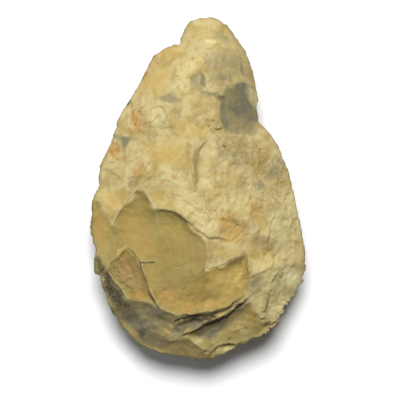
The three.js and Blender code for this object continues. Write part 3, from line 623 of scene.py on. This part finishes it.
def drawSteps(x, y):
    drop, dark, light = np.zeros(x.shape), np.zeros(x.shape), np.zeros(x.shape)
    wx, wy = wandered("steps", x, y)
    patchy = np.clip(0.8 + 0.7 * cloud(x, y, 8, 2, 401), 0.2, 1.25)
    for (depth, fade, footDark, lipLight), points in readRows(steps):
        line = openCurve(points)
        reach = 3.5 * fade + 3  # past this the step no longer shows
        near = nearBox(wx, wy, line, reach)
        best, side, place = nearestOnLine(wx[near], wy[near], line)
        isRight = side < 0
        # a step runs out over a fifth of its length at both ends
        taper = np.clip(np.minimum(place, 1 - place) * 5 + 0.15, 0, 1)
        wall = smooth(-0.2, 0.9 + 0.25 * depth, best) * np.exp(-best / fade)
        drop[near] += np.where(isRight, depth * wall, 0) * taper
        # painted shade at the foot of the step, mostly on its lower side
        foot = np.exp(-((best / (0.75 + 0.5 * depth)) ** 1.5)) * np.where(isRight, 1, np.exp(-best * 2.5))
        dark[near] = np.maximum(dark[near], footDark * taper * foot * patchy[near])
        # painted highlight along the lip, weaker on the lower side
        lip = lipLight * taper * np.exp(-best ** 2) * np.where(isRight, 0.15, 1)
        light[near] = np.maximum(light[near], lip * patchy[near])
    # each pit sinks a little and gets painted shade
    for pitX, pitY in pits:
        spot = np.exp(-(((wx - pitX) ** 2 + (wy - pitY) ** 2) / 1.1)) * patchy
        dark = np.maximum(dark, 0.7 * spot)
        drop = drop + 0.4 * spot  # mm
    return drop, dark, light


def patchMask(kind, x, y):
    wx, wy = wandered("patches", x, y)
    mask = np.zeros(x.shape)
    for (strength, soft), ring in readRows(patches[kind]):
        near = nearBox(wx, wy, ring, 2 * soft)
        gap, isInside = ringGap(wx[near], wy[near], ring)
        mask[near] = np.maximum(mask[near], strength * smooth(-soft, soft, np.where(isInside, gap, -gap)))
    return mask


def shards(x, y, cell, seed):
    # small flat chips at random tilts, and how deep the crack between them is
    column, row = np.floor(x / cell), np.floor(y / cell)
    first, second = np.full(x.shape, farAway), np.full(x.shape, farAway)
    height, other = np.zeros(x.shape), np.zeros(x.shape)
    for i in (-1, 0, 1):
        for j in (-1, 0, 1):
            chip = (column + i).astype(np.int64), (row + j).astype(np.int64)
            random = [hashed(*chip, seed + k) for k in range(5)]
            dx = x - (column + i + 0.5 + 0.45 * random[0]) * cell
            dy = y - (row + j + 0.5 + 0.45 * random[1]) * cell
            gap = np.hypot(dx, dy)
            here = (random[2] * dx + random[3] * dy) / cell * 0.8 + 0.3 * random[4]
            isFirst, isSecond = gap < first, (gap >= first) & (gap < second)
            other = np.where(isFirst, height, np.where(isSecond, here, other))
            second = np.where(isFirst, first, np.where(isSecond, gap, second))
            height = np.where(isFirst, here, height)
            first = np.where(isFirst, gap, first)
    crackWidth = 0.16 * cell
    apart = np.clip((second - first) / crackWidth, 0, 1)
    return height * (0.5 + 0.5 * apart) + other * (0.5 - 0.5 * apart), np.abs(height - other) * (1 - apart)


# Rough places: centre, half sizes, height of the roughness in mm and how thickly the grains lie.
roughPlaces = [
    ((-80, 68), (24, 28), 0.55, 1.0),
    ((-14, 281), (13, 21), 0.55, 0.15),
    ((10, 145), (34, 22), 0.4, 0.25),
    ((46, 95), (8, 18), 0.4, 0.3),
    ((78, 48), (24, 28), 0.4, 0.03),
    ((34, 8), (40, 12), 0.5, 0.05),
    ((10, 38), (40, 14), 0.25, 0.0),
    ((-60, 240), (14, 22), 0.7, 0.2),
    ((-84, 208), (9, 13), 0.9, 0.2),
    ((-40, 236), (22, 16), 0.5, 0.05),
    ((-50, 190), (20, 12), 0.5, 0.05),
    ((10, 234), (16, 10), 0.5, 0.1),
    ((84, 140), (26, 80), 0.42, 0.03),
    ((45, 180), (46, 60), 0.28, 0.02),
    ((-30, 215), (48, 50), 0.2, 0.02),
    ((15, 270), (40, 40), 0.22, 0.02),
    ((-20, 40), (60, 34), 0.2, 0.02),
]


def roughness(x, y):
    rough, grains = np.zeros(x.shape), np.zeros(x.shape)
    for centre, half, height, density in roughPlaces:
        reach = np.hypot((x - centre[0]) / half[0], (y - centre[1]) / half[1])
        share = 1 - smooth(0.5, 1.1, reach)
        rough = np.maximum(rough, height * share)
        grains = np.maximum(grains, density * share)
    return rough, grains


# What a user would change on the stone. Heights are in millimetres.
stone = {
    "cellsAcross": 208,  # of the grid that both faces are made of
    "cellsAlong": 360,
    "edgeShare": 0.442,  # height of the cutting edge, as a share of the thickness
    "seatCut": 1.3,  # what the flat resting patch takes off the belly
    "edgeWave": 1.6,  # how far the cutting edge swings up and down
    "edgeRagged": 0.35,  # how uneven it is in small
    "edgeDarkening": 0.4,  # how dark it is
    "crownPower": 1.9,  # a higher power makes the face flatter in the middle and steeper at the edge
    "bellyPower": 2.2,
    "tipThinning": 0.3,  # share of its height that the crown loses towards the tip
    "thinningStart": 170,  # where that begins, in plan steps
    "nibble": 0.55,  # how far the small chips eat into the outline
    "lumps": 0.3,  # height of the soft unevenness, a few millimetres across
    "grain": 0.13,  # height of the fine surface roughness
    "undersideScars": 11,
    "undersideBite": 0.34,  # share of the depth that such a scar takes
    "bellyMiddle": 150,  # where along the plan the belly is deepest, in plan steps
    "bellyFall": 0.375,  # share of its depth that the belly has lost at the butt
    "crumbs": 0.7,  # height of the crumbs where the crust is roughest, and then of the flat chips there
    "chips": 0.9,
    "smallChips": 0.45,
    "chipSize": 11,  # plan steps
    "smallChipSize": 4.5,
    "chipStretch": 1.9,  # how many times longer than wide they are
    "chipLean": (0.94, 0.34),  # cosine and sine of the angle at which they lean
}

thickness = size.z / mm
edgeRise = stone["edgeShare"] * thickness
crownRise = thickness - edgeRise


def edgeHeight(x, y, reach):
    # the cutting edge winds a little, and the faces follow it
    swing = np.sin(y * 0.052 + 0.6) * (x / 100) + 0.35 * np.sin(y * 0.11 - x * 0.03)
    return edgeRise + stone["edgeWave"] * reach ** 2 * swing


def upperFace(x, y, reach):
    # the height of the face, its tone, and where painted shade and painted highlight go
    left, tone, ripple = carveUpper(x, y)
    drop, dark, light = drawSteps(x, y)
    inner = 1 - smooth(0.955, 1, reach)  # no fine relief at the very edge
    thinning = 1 - stone["tipThinning"] * smooth(stone["thinningStart"], planSteps, y)
    rise = crownRise * thinning * (1 - reach ** stone["crownPower"])
    rough = roughness(x, y)[0]
    fine = stone["lumps"] * cloud(x, y, 24, 2, 8) + stone["grain"] * cloud(x, y, 6, 4, 3)
    # the grain of the stone leans, and chips are longer along it than across
    turn, lean = stone["chipLean"]
    across, along = turn * x - lean * y, (lean * x + turn * y) / stone["chipStretch"]
    across, along = across + 1.2 * cloud(x, y, 14, 2, 48), along + 1.2 * cloud(x, y, 14, 2, 49)
    chips, cracks = shards(across, along, stone["chipSize"], 51)
    small, smallCracks = shards(across + cloud(x, y, 6, 2, 58), along, stone["smallChipSize"], 61)
    crumbs = cloud(x, y, 4.5, 4, 43)
    fine += rough * (stone["crumbs"] * crumbs + stone["chips"] * chips + stone["smallChips"] * small)
    # the cracks between the chips get painted shade where the crust is rough
    cracked = np.clip(0.45 * cracks + 0.35 * smallCracks - 0.05, 0, 0.3)
    dark = np.maximum(dark, np.clip(rough / 0.4, 0, 1) * cracked)
    relief = ripple + fine - np.minimum(drop, rise * left * 0.7)
    height = edgeHeight(x, y, reach) + np.maximum(rise * left + relief * inner, 0)
    return height, tone, dark, light


def carveLower(x, y):
    # one broad scar after another round the edge, each struck from the outline towards the spine
    left = np.ones(x.shape)
    wx, wy = wandered("scars", x, y)
    foot, head = np.array(spine, float)
    stretch = head - foot
    for number in range(stone["undersideScars"]):
        centre = closedCurve(np.array([number * len(outline) / stone["undersideScars"]]))[0]
        share = np.clip(((centre - foot) * stretch).sum() / (stretch ** 2).sum(), 0, 1)
        inward = foot + share * stretch - centre
        gap = np.hypot(*inward)
        inward = inward / gap
        dx, dy = wx - centre[0], wy - centre[1]
        scarLength = gap * (0.66 + 0.12 * math.sin(number * 2.4))
        scarWidth = 38 + 7 * math.cos(number * 1.7)
        along = (dx * inward[0] + dy * inward[1]) / scarLength
        across = (dx * inward[1] - dy * inward[0]) / scarWidth
        hollow = stone["undersideBite"] * np.maximum(0, 1 - along ** 2 - across ** 2)
        left = np.minimum(left, 1 - hollow + 0.006 * np.sin(np.hypot(dx, dy) * 0.7))
    return left


def lowerFace(x, y, reach):
    # the hidden face, plainer than the upper one, and cut off flat where the stone rests
    middle = stone["bellyMiddle"]
    fall = 1 - stone["bellyFall"] * ((y - middle) / middle) ** 2
    depth = (edgeRise + stone["seatCut"]) * fall * (1 - reach ** stone["bellyPower"]) * carveLower(x, y)
    inner = 1 - smooth(0.9, 1, reach)
    fine = (stone["grain"] * 1.4 * cloud(x, y, 7, 4, 103) + 0.25 * cloud(x, y, 22, 2, 113)) * inner
    return np.maximum(0, edgeHeight(x, y, reach) - np.maximum(depth + fine, 0))


def planGrid():
    # rings of the grid run from the outline in to the spine
    across, along = stone["cellsAcross"], stone["cellsAlong"]
    column, row = np.meshgrid(np.arange(across + 1), np.arange(along + 1))
    column, row = column.ravel().astype(float), row.ravel().astype(float)
    rings = across / 2
    onSpine = np.clip(row, rings, along - rings)
    side, end = column - rings, row - onSpine
    reach = np.maximum(np.abs(side), np.abs(end)) / rings
    safe = np.where(reach == 0, 1, reach)
    outerColumn, outerRow = rings + side / safe, onSpine + end / safe
    isEnd = np.abs(end) >= np.abs(side)
    count = len(outline)

    def between(start, finish, share):
        # a place on the outline between two corners of the grid
        first, last = gridCorners[start], gridCorners[finish]
        return (first + (last - first) % count * share) % count

    place = np.where(
        isEnd & (end > 0), between("tipLeft", "tipRight", outerColumn / across),
        np.where(isEnd, between("buttRight", "buttLeft", 1 - outerColumn / across),
                 np.where(side > 0, between("tipRight", "buttRight", 1 - outerRow / along),
                          between("buttLeft", "tipLeft", outerRow / along))))
    rim = closedCurve(place)
    share = ((onSpine - rings) / (along - across))[:, None]
    middle = np.array(spine[0], float) * (1 - share) + np.array(spine[1], float) * share

    def ragged(often, octaves, seed):
        # noise along the outline, with so many cells from one of its points to the next
        return cloud(place * often, place * 0, 1.0, octaves, seed)

    # small chips nibble the outline, and a few bigger ones
    bite = stone["nibble"] / stepSize
    bigger = np.abs(np.sin(place * 4.4)) ** 3
    nibble = bite * (0.75 * ragged(3.1, 4, 61) - 0.3 * bigger + 0.25 * ragged(17, 2, 66))
    inward = middle - rim
    inward /= np.hypot(inward[:, 0], inward[:, 1])[:, None] + 1e-9
    # the lower right of the rim is the most crumbly
    crumbly = smooth(40, 70, rim[:, 0]) * (1 - smooth(80, 110, rim[:, 1]))
    nibble += bite * 1.5 * crumbly * ragged(11, 2, 68)
    rim = rim - inward * (nibble - 0.2 * bite)[:, None]
    plan = middle + (rim - middle) * reach[:, None]
    return plan[:, 0], plan[:, 1], reach


def toMetres(x, y, height):
    # the plan is spread over the solid's own box
    (left, bottom), (right, top) = fineOutline.min(0), fineOutline.max(0)
    across = ((x - left) / (right - left) - 0.5) * size.x
    lengthwise = ((y - bottom) / (top - bottom) - 0.5) * size.y
    return np.column_stack([across, lengthwise, height * mm])


def buildStone():
    x, y, ring = planGrid()
    across, along = stone["cellsAcross"], stone["cellsAlong"]
    columns = across + 1
    isRim = ring > 1 - 1e-9
    reach = np.where(isRim, 1.0, reachFromSpine(x, y))
    ragged = stone["edgeRagged"] * cloud(x, y, 9, 3, 77)
    lift = ragged * reach ** 12  # fades out soon inside the edge
    upper, tone, dark, light = upperFace(x, y, reach)
    tone = softened(tone, along + 1, columns)
    upper = np.where(isRim, edgeHeight(x, y, 1.0) + ragged, upper + lift)
    lower = np.maximum(0, lowerFace(x, y, reach) + lift)
    # the hidden face keeps every second point, and shares those of the rim
    column, row = np.meshgrid(np.arange(columns), np.arange(along + 1))
    isLower = ~isRim & (column.ravel() % 2 == 0) & (row.ravel() % 2 == 0)
    lowerIndex = np.where(isRim, np.arange(len(x)), len(x) + np.cumsum(isLower) - 1)
    vertices = np.vstack([toMetres(x, y, upper), toMetres(x, y, lower)[isLower]])
    mesh = bpy.data.meshes.new("hand_axe_flint")
    mesh.from_pydata(vertices.tolist(), [], stoneFaces(isRim, lowerIndex))
    for name, values in colourMasks(x, y, reach, tone, dark, light, isLower).items():
        given = np.concatenate(values).astype(np.float32)
        mesh.attributes.new(name, "FLOAT", "POINT").data.foreach_set("value", given)
    mesh.polygons.foreach_set("use_smooth", [True] * len(mesh.polygons))
    mesh.update()
    piece = bpy.data.objects.new("hand_axe_stone", mesh)
    bpy.context.scene.collection.objects.link(piece)
    return piece


def stoneFaces(isRim, lowerIndex):
    across, along = stone["cellsAcross"], stone["cellsAlong"]
    columns = across + 1
    faces = []
    for row in range(along):
        for column in range(across):
            a = row * columns + column
            faces += cellFaces((a, a + 1, a + 1 + columns, a + columns), isRim)
    # the hidden face has cells twice as big, and at the rim they take in every point of the edge
    for row in range(0, along, 2):
        for column in range(0, across, 2):
            a = row * columns + column
            b, c, d = a + 2, a + 2 + 2 * columns, a + 2 * columns
            loop = [a, a + 1, b, b + columns, c, c - 1, d, d - columns]
            loop = [index for place, index in enumerate(loop) if place % 2 == 0 or isRim[index]]
            for part in cellFaces(tuple(loop), isRim):
                faces.append(tuple(int(lowerIndex[index]) for index in reversed(part)))
    return faces


# Blots of other colour on the hidden face: cell in plan steps, seed and strength.
hiddenBlots = {
    "grey": (45, 311, 0.7),
    "mist": (30, 341, 0.6),
    "cream": (35, 321, 0.5),
    "rust": (30, 331, 0.6),
    "gold": (26, 351, 0.6),
    "brown": (22, 361, 0.6),
}


def colourMasks(x, y, reach, tone, dark, light, isLower):
    # what the material reads, for the points of the upper face and then of the lower one
    zero = np.zeros(isLower.sum())
    # the gap patches are painted shadow under steps and overhangs
    gap = patchMask("gap", x, y)
    rough, grains = roughness(x, y)
    # the very edge is drawn darker
    edgeDark = stone["edgeDarkening"] * smooth(0.965, 1, reach)
    masks = {
        "tone": (tone, 0.25 + 0.3 * cloud(x, y, 40, 2, 301)[isLower]),
        "dark": (patchMask("dark", x, y), zero),
        # painted shade at the feet of steps, in cracks and pits and under overhangs, with the darker band
        # along the edge
        "foot": (np.clip(np.maximum(np.maximum(dark, gap), edgeDark), 0, 1.2), zero),
        # painted highlight along ridges and step lips, left out under the painted shadow
        "lip": (light * (1 - np.clip(gap, 0, 1)), zero),
        "rough": (np.clip(rough * 2, 0, 1), zero + 0.3),
        "grains": (grains * smooth(1, 0.97, reach), zero),
    }
    for kind, (cell, seed, strength) in hiddenBlots.items():
        blots = strength * smooth(0.3, 0.9, cloud(x, y, cell, 3, seed)[isLower])
        masks[kind] = (patchMask(kind, x, y), blots)
    return masks


def cellFaces(cell, isRim):
    # a cell in a corner of the grid is cut from its inner point, so that the two faces share no triangle
    inner = [place for place, index in enumerate(cell) if not isRim[index]]
    if len(inner) != 1:
        return [cell]
    loop = cell[inner[0]:] + cell[:inner[0]]
    return [(loop[0], loop[place], loop[place + 1]) for place in range(1, len(loop) - 1)]


def softened(values, rows, columns):
    # each point takes on something of its neighbours, twice
    grid = values.reshape(rows, columns)
    for _ in range(2):
        wide = np.pad(grid, 1, mode="edge")
        grid = (wide[:-2, 1:-1] + wide[2:, 1:-1] + wide[1:-1, :-2] + wide[1:-1, 2:] + 2 * grid) / 6
    return grid.ravel()


def linear(red, green, blue):
    # from a colour as a screen shows it to what the shader works with
    values = [v / 255 for v in (red, green, blue)]
    values = [v / 12.92 if v <= 0.04045 else ((v + 0.055) / 1.055) ** 2.4 for v in values]
    return tuple(v * flint["underLight"] for v in values) + (1.0,)


class Wire:
    # one socket of a node tree, so that its maths reads as an expression

    def __init__(self, tree, socket):
        self.tree = tree
        self.socket = socket

    def node(self, kind, settings=None, sockets=None, out=0):
        made = self.tree.nodes.new(kind)
        for name, value in (settings or {}).items():
            setattr(made, name, value)
        for key, value in (sockets or {}).items():
            if isinstance(value, Wire):
                self.tree.links.new(value.socket, made.inputs[key])
            else:
                made.inputs[key].default_value = value
        return Wire(self.tree, made.outputs[out])

    def math(self, operation, first, second=0.0):
        return self.node("ShaderNodeMath", {"operation": operation}, {0: first, 1: second})

    def __add__(self, other):
        return self.math("ADD", self, other)

    def __radd__(self, other):
        return self.math("ADD", other, self)

    def __sub__(self, other):
        return self.math("SUBTRACT", self, other)

    def __rsub__(self, other):
        return self.math("SUBTRACT", other, self)

    def __mul__(self, other):
        return self.math("MULTIPLY", self, other)

    def __rmul__(self, other):
        return self.math("MULTIPLY", other, self)

    def clipped(self):
        return self.node("ShaderNodeClamp", {}, {"Value": self})

    def ramp(self, start, end):
        # 0 below start and 1 above end, smooth between
        sockets = {"Value": self, "From Min": start, "From Max": end}
        return self.node("ShaderNodeMapRange", {"interpolation_type": "SMOOTHSTEP"}, sockets)

    def mixed(self, first, second):
        # the colour sockets share their names with others, so they go by number
        return self.node("ShaderNodeMix", {"data_type": "RGBA"}, {"Factor": self, 6: first, 7: second}, 2)


# The colours are as they look under the studio's light, from 0 to 255.
flint = {
    "ochre": (214, 196, 138),
    "deepOchre": (187, 160, 92),
    "gold": (218, 184, 100),
    "paleGreen": (202, 190, 134),
    "olive": (160, 139, 68),
    "cream": (226, 210, 148),
    "palest": (255, 243, 186),
    "grey": (126, 121, 95),
    "greyOlive": (150, 140, 94),
    "mist": (163, 151, 109),
    "brown": (160, 137, 85),
    "dark": (67, 64, 46),
    "speck": (148, 141, 112),
    "rust": (208, 146, 70),
    "redBrown": (160, 104, 58),
    # painted shade for the feet of steps, overhangs, cracks and pits, also used for the darker edge
    "paintedShade": (48, 36, 21),
    # painted highlight on ridges and step lips, standing partly for their worn paleness; also the pale specks
    "lip": (228, 212, 160),
    "underLight": 0.67,  # what the light needs of each colour
    "roughness": 0.7,
    "specular": 0.25,
    "bump": 0.9,
    "bumpDistance": 0.0006,  # metres
}

# How often each noise changes in a metre, and its detail, roughness and distortion.
noises = {
    "broad": (60, 3, 0.55, 0.0),
    "blotch": (130, 5, 0.6, 0.5),
    "streak": (230, 5, 0.65, 0.8),
    "mottle": (420, 4, 0.6, 0.0),
    "scratch": (900, 3, 0.6, 0.6),
    "speck": (1500, 3, 0.6, 0.0),
}


def flintMaterial():
    material = bpy.data.materials.new("flint")
    material.use_nodes = True
    tree = material.node_tree
    shader = tree.nodes["Principled BSDF"]
    start = Wire(tree, None)
    place = start.node("ShaderNodeTexCoord", out="Object")
    # streaks and scratches lean as the grain of the stone does
    leaning = {"Vector": place, "Rotation": (0.0, 0.0, -0.35), "Scale": (1.0, 3.2, 1.0)}
    stretched = start.node("ShaderNodeMapping", {"vector_type": "TEXTURE"}, leaning)

    def noise(name, at=place):
        scale, detail, rough, distortion = noises[name]
        sockets = {"Vector": at, "Scale": scale, "Detail": detail, "Roughness": rough}
        sockets["Distortion"] = distortion
        return start.node("ShaderNodeTexNoise", {"noise_dimensions": "3D"}, sockets)

    def mask(name):
        return start.node("ShaderNodeAttribute", {"attribute_name": name}, out="Fac")

    def blot(name, grain, spread):
        # a patch whose border and inside are broken up by the grain
        return (mask(name) + (grain - 0.5) * spread).ramp(0.12, 0.88)

    colour = {name: linear(*value) for name, value in flint.items() if isinstance(value, tuple)}
    broad, blotch, mottle, speck = (noise(name) for name in ("broad", "blotch", "mottle", "speck"))
    streak, scratch = noise("streak", stretched), noise("scratch", stretched)
    crumb = mottle * 0.5 + streak * 0.5

    # crust and scars
    tone = mask("tone") + (broad - 0.5) * 0.6 + (blotch - 0.5) * 0.5
    base = blotch.ramp(0.37, 0.66).mixed(colour["ochre"], colour["deepOchre"])
    base = (broad.ramp(0.5, 0.7) * 0.45).mixed(base, colour["gold"])
    base = (streak.ramp(0.52, 0.7) * 0.4).mixed(base, colour["paleGreen"])
    base = (tone.ramp(0.1, 1.0) * 0.9).mixed(base, colour["olive"])
    base = ((tone * -1).ramp(0.0, 0.8) * 0.6).mixed(base, colour["cream"])
    base = (mottle.ramp(0.48, 0.7) * 0.34).mixed(base, colour["deepOchre"])
    base = ((1 - mottle.ramp(0.3, 0.5)) * (0.24 - tone.ramp(0.3, 1.0) * 0.2)).mixed(base, colour["cream"])

    # patches of other colour
    base = (blot("gold", blotch, 0.7) * 0.75).mixed(base, colour["gold"])
    base = (blot("brown", crumb, 1.3) * 0.85).mixed(base, colour["brown"])
    base = (blot("mist", crumb, 1.3) * 0.95).mixed(base, colour["mist"])
    greyStuff = blotch.ramp(0.4, 0.62).mixed(colour["grey"], colour["greyOlive"])
    greyStuff = (mottle.ramp(0.5, 0.7) * 0.5).mixed(greyStuff, colour["mist"])
    base = blot("grey", streak, 0.9).mixed(base, greyStuff)
    base = (mask("grey") * speck.ramp(0.56, 0.66) * 0.5).clipped().mixed(base, colour["mist"])
    base = (blot("cream", crumb, 1.3) * 0.85).mixed(base, colour["cream"])
    base = ((mask("cream") - 0.9) * 1.4).clipped().mixed(base, colour["palest"])
    rust = (mask("rust") * streak.ramp(0.38, 0.6)).clipped()
    base = (rust * 0.8).mixed(base, colour["rust"])
    base = ((mask("rust") - 0.6) * mottle.ramp(0.52, 0.66)).clipped().mixed(base, colour["redBrown"])
    dark = (mask("dark") * (0.75 + blotch * 0.6)).clipped()
    base = dark.mixed(base, speck.ramp(0.52, 0.68).mixed(colour["dark"], colour["speck"]))

    # scratches, painted highlight on ridges and step lips, painted shade at the feet of steps, under
    # overhangs and in cracks and pits, a darker band along the very edge, and specks over all
    marks = scratch.ramp(0.58, 0.7) * (mask("rough") * 0.5 + 0.12)
    base = marks.clipped().mixed(base, colour["brown"])
    base = (mask("lip") * (0.3 + mottle * 0.8)).clipped().mixed(base, colour["lip"])
    base = (mask("foot") * 0.9).clipped().mixed(base, colour["paintedShade"])
    base = (speck.ramp(0.58, 0.75) * 0.34).mixed(base, colour["deepOchre"])
    base = ((1 - speck.ramp(0.28, 0.42)) * 0.2).mixed(base, colour["lip"])
    tree.links.new(base.socket, shader.inputs["Base Color"])

    # the grey chert is smoother than the crust
    sheen = flint["roughness"] - mask("grey") * 0.16 + (mottle - 0.5) * 0.2
    tree.links.new(sheen.clipped().socket, shader.inputs["Roughness"])
    height = mottle * 0.6 + speck * 0.35 + streak * 0.5 + scratch * (mask("rough") * 0.8)
    given = {"Strength": flint["bump"], "Distance": flint["bumpDistance"], "Height": height}
    bump = start.node("ShaderNodeBump", {}, given)
    tree.links.new(bump.socket, shader.inputs["Normal"])
    shader.inputs["Specular IOR Level"].default_value = flint["specular"]
    return material


grit = {
    "Grains per square metre": 900000.0,  # where they lie most thickly
    "Grain radius": 0.00024,  # metres
    "Seed": 7,
}


def gritTree(material):
    # small grains of mineral, half sunk in the rough places
    tree = bpy.data.node_groups.new("grit", "GeometryNodeTree")
    kinds = {
        "Grains per square metre": "NodeSocketFloat",
        "Grain radius": "NodeSocketFloat",
        "Seed": "NodeSocketInt",
    }
    tree.interface.new_socket("Geometry", in_out="INPUT", socket_type="NodeSocketGeometry")
    for name, kind in kinds.items():
        tree.interface.new_socket(name, in_out="INPUT", socket_type=kind)
    tree.interface.new_socket("Geometry", in_out="OUTPUT", socket_type="NodeSocketGeometry")
    given = tree.nodes.new("NodeGroupInput")
    start = Wire(tree, None)
    surface, density, radius, seed = (Wire(tree, given.outputs[place]) for place in range(4))
    share = start.node("GeometryNodeInputNamedAttribute", {"data_type": "FLOAT"}, {"Name": "grains"})
    points = start.node("GeometryNodeDistributePointsOnFaces", {},
                        {"Mesh": surface, "Density": share * density, "Seed": seed})
    grain = start.node("GeometryNodeMeshIcoSphere", {}, {"Radius": radius, "Subdivisions": 1})
    vector = {"data_type": "FLOAT_VECTOR"}
    fullTurn = (6.28, 6.28, 6.28)
    turn = start.node("FunctionNodeRandomValue", vector, {"Min": (0, 0, 0), "Max": fullTurn, "Seed": seed})
    smallest, largest = (0.4, 0.4, 0.3), (1.5, 1.2, 0.9)
    scale = start.node("FunctionNodeRandomValue", vector, {"Min": smallest, "Max": largest, "Seed": seed})
    placed = start.node("GeometryNodeInstanceOnPoints", {},
                        {"Points": points, "Instance": grain, "Rotation": turn, "Scale": scale})
    # the grains are paler than the dark patch they lie on
    toned = start.node("GeometryNodeStoreNamedAttribute", {"data_type": "FLOAT", "domain": "INSTANCE"},
                       {"Geometry": placed, "Name": "mist", "Value": 0.7})
    joined = tree.nodes.new("GeometryNodeJoinGeometry")
    tree.links.new(toned.socket, joined.inputs[0])
    tree.links.new(surface.socket, joined.inputs[0])
    whole = start.node("GeometryNodeRealizeInstances", {}, {"Geometry": Wire(tree, joined.outputs[0])})
    finished = start.node("GeometryNodeSetMaterial", {}, {"Geometry": whole, "Material": material})
    result = tree.nodes.new("NodeGroupOutput")
    tree.links.new(finished.socket, result.inputs[0])
    return tree


def layGrit(piece, material):
    # the stone's mesh takes the grains in
    tree = gritTree(material)
    modifier = piece.modifiers.new("grit", "NODES")
    modifier.node_group = tree
    for socket in tree.interface.items_tree:
        if socket.name in grit:
            modifier[socket.identifier] = grit[socket.name]
    graph = bpy.context.evaluated_depsgraph_get()
    evaluated = piece.evaluated_get(graph)
    mesh = bpy.data.meshes.new_from_object(evaluated, preserve_all_data_layers=True, depsgraph=graph)
    piece.modifiers.clear()
    piece.data = mesh
    mesh.name = "hand_axe_flint"


print("building the stone")
axe = buildStone()
flintStuff = flintMaterial()
axe.data.materials.append(flintStuff)
layGrit(axe, flintStuff)
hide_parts("hand_axe")
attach(axe, "root")
print("stone built:", sum(len(face.vertices) - 2 for face in axe.data.polygons), "triangles")

# Lengths are in metres. A light comes from where its From points, and Spread is its width in degrees.
studio = {
    "viewWidth": 0.1749,  # what the picture takes in, at the height of the edge
    "viewCentre": (0.0008, -0.0050),
    "distance": 0.95,  # of the camera above the edge
    "floorSize": 6.0,
    "floorShade": 0.72,
    "fill": 0.02,
    "fillColour": (0.75, 0.88, 1),
    "key": 4.7,
    "keyFrom": (0.0, 1.0, 1.86),
    "keySpread": 27,
    "keyColour": (1, 1, 1),
    "side": 0.75,
    "sideFrom": (-1.0, 0.3, 1.2),
    "sideSpread": 95,
    "sideColour": (0.85, 0.92, 1),
}


def layPaper():
    floor = bpy.data.meshes.new("floor")
    half = studio["floorSize"] / 2
    floorCorners = [(-half, -half, 0), (half, -half, 0), (half, half, 0), (-half, half, 0)]
    floor.from_pydata(floorCorners, [], [(0, 1, 2, 3)])
    floorPiece = bpy.data.objects.new("floor", floor)
    bpy.context.scene.collection.objects.link(floorPiece)
    paper = bpy.data.materials.new("paper")
    paper.use_nodes = True
    paperShader = paper.node_tree.nodes["Principled BSDF"]
    shade = studio["floorShade"]
    paperShader.inputs["Base Color"].default_value = (shade, shade, shade, 1)
    paperShader.inputs["Roughness"].default_value = 0.9
    paperShader.inputs["Specular IOR Level"].default_value = 0.0
    floor.materials.append(paper)


def hangLights():
    world = bpy.data.worlds.new("studio")
    bpy.context.scene.world = world
    world.use_nodes = True
    sky = world.node_tree.nodes["Background"]
    sky.inputs["Color"].default_value = (*studio["fillColour"], 1)
    sky.inputs["Strength"].default_value = studio["fill"]

    for name in ("key", "side"):
        sun = bpy.data.lights.new(name, "SUN")
        sun.energy = studio[name]
        sun.color = studio[name + "Colour"]
        sun.angle = math.radians(studio[name + "Spread"])
        sunPiece = bpy.data.objects.new(name, sun)
        x, y, z = studio[name + "From"]
        sunPiece.rotation_euler = (math.atan2(math.hypot(x, y), z), 0, math.atan2(x, -y))
        bpy.context.scene.collection.objects.link(sunPiece)


def setCamera():
    camera = bpy.data.cameras.new("camera")
    camera.lens = camera.sensor_width * studio["distance"] / studio["viewWidth"]
    camera.clip_start = 0.05
    camera.clip_end = 20
    cameraPiece = bpy.data.objects.new("camera", camera)
    centreX, centreY = studio["viewCentre"]
    cameraPiece.location = (centreX, centreY, edgeRise * mm + studio["distance"])
    bpy.context.scene.collection.objects.link(cameraPiece)
    bpy.context.scene.camera = cameraPiece
    bpy.context.scene.view_settings.view_transform = "Standard"


layPaper()
hangLights()
setCamera()
print("studio laid")
